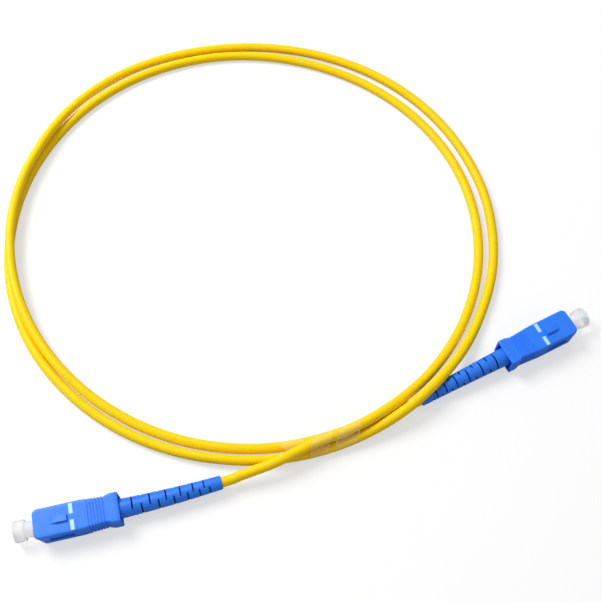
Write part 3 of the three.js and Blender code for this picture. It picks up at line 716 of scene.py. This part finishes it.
# ---- Boot ----
# The soft blue strain relief pushed over the crimp. It tapers towards the cable. At twelve
# places a pair of flat slots is cut from opposite sides, each pair a quarter turn from the
# pair before, so that it bends every way.

boot_front = 21
root_radius = 2.95
tip_end_radius = 2.1
tip_edge = 0.3
tip_edge_depth = 0.15
boot_columns = 120
sleeve_room = 2.52
cable_room = 1.66
narrowing = [27.3, 28.7]
slot_count = 12
slot_first = 3.8
slot_pitch = 2.752
slot_pitch_drop = 0.125
slot_width = 0.5
slot_reach = 1.45
slot_depth = 1.7
least_cut = 0.1
boot_blue = mottled(
    "boot_blue", low=(0.016, 0.18, 0.83), high=(0.02, 0.2, 0.89), patch=250,
    rough=(0.36, 0.48), grain=2200, relief=0.03, Specular_IOR_Level=0.4)
# A much darker blue for the slots' walls and floors, painted shade for their dark insides.
slot_painted_shade = mottled(
    "slot_painted_shade", low=(0.004, 0.055, 0.34), high=(0.006, 0.065, 0.38), patch=250,
    rough=(0.5, 0.6), grain=2200, relief=0.01, Specular_IOR_Level=0.2)
slot_steps = slot_pitch - slot_pitch_drop * np.arange(slot_count - 1)
slot_places = grip_length + slot_first + np.append(0, np.cumsum(slot_steps))

# Each slot has four rows, two at the skin and two at its floor. Its walls lean very slightly,
# so that no two of its points coincide.
slot_x = (slot_places[:, None] + slot_width * np.array([-0.5, -0.49, 0.49, 0.5])).ravel()
plain_x = [boot_front, 22.5, grip_length, *narrowing, boot_rear - 0.4, boot_rear - 0.2, boot_rear]
order = np.argsort(np.append(plain_x, slot_x), kind="stable")
slot_turn = np.tile([[0], [90]], (slot_count // 2, 4)).ravel()
slot_deep = np.tile([False, True, True, False], slot_count)
boot_x = np.append(plain_x, slot_x)[order]
boot_turn = np.append(np.zeros(len(plain_x)), slot_turn)[order]
boot_deep = np.append(np.zeros(len(plain_x), bool), slot_deep)[order]
for letter, end in ends.items():
    behind = np.maximum(boot_x - grip_length, 0) / boot_exposed
    reach = root_radius + (tip_end_radius - root_radius) * behind
    reach = reach - tip_edge_depth * np.clip((boot_x - boot_rear + tip_edge) / tip_edge, 0, 1) ** 2
    around = np.linspace(0, 2 * np.pi, boot_columns, endpoint=False)[None]
    facing = np.abs(np.cos(around - np.radians(boot_turn)[:, None]))
    flat_cut = np.maximum(slot_reach / np.maximum(facing, 0.1), slot_depth)
    cut = np.where(boot_deep[:, None], flat_cut, np.inf)
    below = cut < reach[:, None] - least_cut
    in_slot = below[:-1] | below[1:]
    in_slot = in_slot | np.roll(in_slot, -1, axis=1)
    reach = np.minimum(reach[:, None], cut)
    room = np.interp(boot_x, narrowing, [sleeve_room, cable_room])[:, None] + 0 * around
    turn = around + math.radians(end["roll"]) + 0 * reach
    x = boot_x[:, None] + 0 * reach
    outer, inner = [np.stack([x, r * np.cos(turn), r * np.sin(turn)], -1) for r in (reach, room)]
    kept = np.ones((len(boot_x) - 1, boot_columns), bool)
    points, faces = wall_between(bent(outer, end), bent(inner, end), kept)
    piece = make_piece(f"slotted_boot_{letter}", placed(points, end), faces)
    edge_rounding(piece, 0.04, 2)
    dress(piece, boot_blue, "root", [f"boot_{letter}"])

    # The walls and floors of the slots get a darker blue: painted shade for the dark insides of the
    # slots.
    piece.data.materials.append(slot_painted_shade)
    shade = np.zeros(len(faces), np.int32)
    shade[:in_slot.size] = in_slot.ravel()
    piece.data.polygons.foreach_set("material_index", shade)

# ---- Dust cap ----
# A soft frosted cap pushed over the ferrule: a round knob to pull it by, on a stem with a
# blind bore.

cap_front = -6.2
knob_radius = 3.2
knob_rear = -2.76
stem_radius = 2.3
stem_rear = 6.3
cap_bore = 1.35
cap_bore_end = -0.4
cap_frosted = mottled(
    "cap_frosted", low=(0.97, 0.97, 0.97), high=(1.0, 1.0, 1.0), patch=300,
    rough=(0.4, 0.5), grain=900, relief=0.002, Transmission_Weight=0.75, IOR=1.15,
    Subsurface_Weight=0.5, Subsurface_Scale=0.002)
for letter, end in ends.items():
    grid = turned([
        [cap_front, 0, 0], [cap_front, knob_radius, 0.5], [knob_rear, knob_radius, 0.5],
        [knob_rear, stem_radius, 0.2], [stem_rear, stem_radius, 0.15], [stem_rear, cap_bore, 0.1],
        [cap_bore_end, cap_bore, 0.2], [cap_bore_end, 0, 0],
    ])
    piece = make_piece(f"frosted_cap_{letter}", placed(grid, end), grid_faces(*grid.shape[:2]))
    dress(piece, cap_frosted, f"cap_{letter}", [f"dust_cap_{letter}"])

# ---- Film ----
# A strip of thin clear film wound three times round the strands holds the ring together.
# It is hazy, and a denser, orange-tinted tone along its cut edges is a painted highlight where they
# catch the light.

# Each turn runs from one angle round the ring to another, given at the ring's inner and at
# its outer side, and has certain strands inside.
film_turns = [
    {"name": "1", "from": (-81.3, -77.4), "to": (-74.9, -76.9), "inside": ("first", "last")},
    {"name": "2", "from": (-72.9, -74.9), "to": (-67.4, -71.2), "inside": ("first", "last", "lead")},
    {"name": "3", "from": (-66.6, -69.5), "to": (-61.1, -64.3), "inside": ("first", "last", "lead")},
]
film_reach = (-100, -50)
film_gap = 0.03
film_thickness = 0.05
film_columns = 72
film_lean = np.linspace(0, 2 * np.pi, film_columns, endpoint=False)
film_out, film_rise = np.cos(film_lean), np.sin(film_lean)
film_share = np.array([0, 0.04, 0.15, 0.3, 0.45, 0.6, 0.75, 0.85, 0.96, 1])[:, None]


def ring_angle(points):
    """Angle of points about the ring's centre, in degrees from -180 to 180."""
    return np.degrees(np.arctan2(points[:, 1] - ring_centre[1], points[:, 0] - ring_centre[0]))


def strand_at(points, angle):
    """Distance from the ring's centre and height of a strand where it passes angles,
    read between its points in order of their angle."""
    have = ring_angle(points)
    order = np.argsort(have)
    reach = np.hypot(points[:, 0] - ring_centre[0], points[:, 1] - ring_centre[1])
    return [np.interp(angle, have[order], value[order]) for value in (reach, points[:, 2])]


# Three strands pass the film: lead a, the first turn and the last turn, found in the first,
# the middle and the last third of the route.
route_angle = ring_angle(route)
near_film = (route_angle > film_reach[0]) & (route_angle < film_reach[1])
third = len(route) // 3
number = np.arange(len(route))
strands = {
    "lead": route[near_film & (number < third)],
    "first": route[near_film & (number >= third) & (number < 2 * third)],
    "last": route[near_film & (number >= 2 * third)],
}
film_hazy = mottled(
    "film_hazy", low=(1.0, 0.95, 0.7), high=(1.0, 0.98, 0.8), patch=200,
    rough=(0.1, 0.2), grain=1500, relief=0.01, Alpha=0.05)
# The cut edges get a denser, orange-tinted tone, a painted highlight.
film_edge_highlight = mottled(
    "film_edge_highlight", low=(1.0, 0.78, 0.35), high=(1.0, 0.82, 0.45), patch=200,
    rough=(0.15, 0.3), grain=1500, relief=0.01, Alpha=0.35)
column = np.arange(film_columns)
for band in film_turns:
    # The loop lies on whichever strand reaches furthest in each direction, which is settled
    # at the middle of the band, and its angle moves evenly from the inner to the outer side.
    middle = np.full(film_columns, (sum(band["from"]) + sum(band["to"])) / 4)
    held = np.array([strand_at(strands[name], middle) for name in band["inside"]])
    pick = (held[:, 0] * film_out + held[:, 1] * film_rise).argmax(0)
    reach = held[pick, 0, column] + cable_radius * film_out
    across = (reach - reach.min()) / np.ptp(reach)
    start, end = [near + (far - near) * across for near, far in (band["from"], band["to"])]
    angle = start + (end - start) * film_share
    held = np.array([strand_at(strands[name], angle) for name in band["inside"]])
    strand_far, strand_high = [held[pick, i, :, column].T for i in (0, 1)]
    turn = np.radians(angle)
    skins = []
    for skin in (cable_radius + film_gap + film_thickness, cable_radius + film_gap):
        far = strand_far + skin * film_out
        high = strand_high + skin * film_rise
        skins.append(np.stack([
            ring_centre[0] + far * np.cos(turn), ring_centre[1] + far * np.sin(turn), high], -1))
    strips = len(film_share) - 1
    points, faces = wall_between(*skins, np.ones((strips, film_columns), bool))
    piece = make_piece(f"film_turn_{band['name']}", points, faces, crease=50)
    dress(piece, film_hazy, "root", [f"film_band_{band['name']}"])
    # Strips along both cut edges, and the faces across them, take the painted highlight.
    piece.data.materials.append(film_edge_highlight)
    strip = np.arange(len(faces)) // film_columns
    at_edge = np.isin(strip % strips, [0, strips - 1]) | (strip >= 2 * strips)
    piece.data.polygons.foreach_set("material_index", at_edge.astype(np.int32))

# Both ends of the cable run on into their boots. The pieces of plug b are gathered here, and the
# cable's length is printed, in all and between the boots.
dressed_b = (
    "slotted_boot_b", "grip_b", "marks_b", "inner_frame_b", "ceramic_ferrule_b", "spring_b",
    "frosted_cap_b")
plain_b = ("fibre_buffer_b", "stop_ring_b", "aramid_yarn_b", "crimp_sleeve_b", "ferrule_flange_b")
plug_b = [o for o in bpy.data.objects if o.name in dressed_b]
plug_b += [frame["nodes"][name] for name in plain_b]
between_boots = distance[-1] - 2 * (boot_rear - jacket_front)
print(f"cable length {distance[-1]:.1f} mm, between boots {between_boots:.1f}")

# ---- Table and light ----
# A white table top under broad soft light from the back left, with an even white room
# round it.

table_half = 3
paper_shade = 0.45
paper_glow = 0.55
table_mesh = bpy.data.meshes.new("table_top")
table_corners = [(x * table_half, y * table_half, 0) for x, y in ((-1, -1), (1, -1), (1, 1), (-1, 1))]
table_mesh.from_pydata(table_corners, [], [(0, 1, 2, 3)])
table_top = bpy.data.objects.new("table_top", table_mesh)
bpy.context.scene.collection.objects.link(table_top)

# Seen by the eye or through a clear piece the table also glows, and so it is white without
# more light on the cord.
paper = bpy.data.materials.new("white_table")
paper.use_nodes = True
nodes, link = paper.node_tree.nodes, paper.node_tree.links.new
nodes.clear()
output = nodes.new("ShaderNodeOutputMaterial")
surface = nodes.new("ShaderNodeBsdfDiffuse")
surface.inputs["Color"].default_value = (paper_shade, paper_shade, paper_shade, 1)
glow = nodes.new("ShaderNodeEmission")
rays = nodes.new("ShaderNodeLightPath")
seen = nodes.new("ShaderNodeMath")
seen.operation = "MAXIMUM"
link(rays.outputs["Is Camera Ray"], seen.inputs[0])
link(rays.outputs["Is Transmission Ray"], seen.inputs[1])
level = nodes.new("ShaderNodeMath")
level.operation = "MULTIPLY"
level.inputs[1].default_value = paper_glow
link(seen.outputs[0], level.inputs[0])
link(level.outputs[0], glow.inputs["Strength"])
both = nodes.new("ShaderNodeAddShader")
link(surface.outputs[0], both.inputs[0])
link(glow.outputs[0], both.inputs[1])
link(both.outputs[0], output.inputs["Surface"])
table_mesh.materials.append(paper)

world = bpy.data.worlds.new("room")
world.use_nodes = True
bpy.context.scene.world = world
room_light = world.node_tree.nodes["Background"]
room_light.inputs["Color"].default_value = (1, 1, 1, 1)
room_light.inputs["Strength"].default_value = 0.45

softbox = bpy.data.lights.new("softbox", "AREA")
softbox.shape = "DISK"
softbox.size = 0.4
softbox.energy = 5
lamp = bpy.data.objects.new("softbox", softbox)
lamp.location = (-0.42, 0.3, 0.55)
aim = Vector((0, 0.03, 0)) - lamp.location
lamp.rotation_euler = aim.to_track_quat("-Z", "Y").to_euler()
bpy.context.scene.collection.objects.link(lamp)

bpy.context.scene.view_settings.view_transform = "Standard"
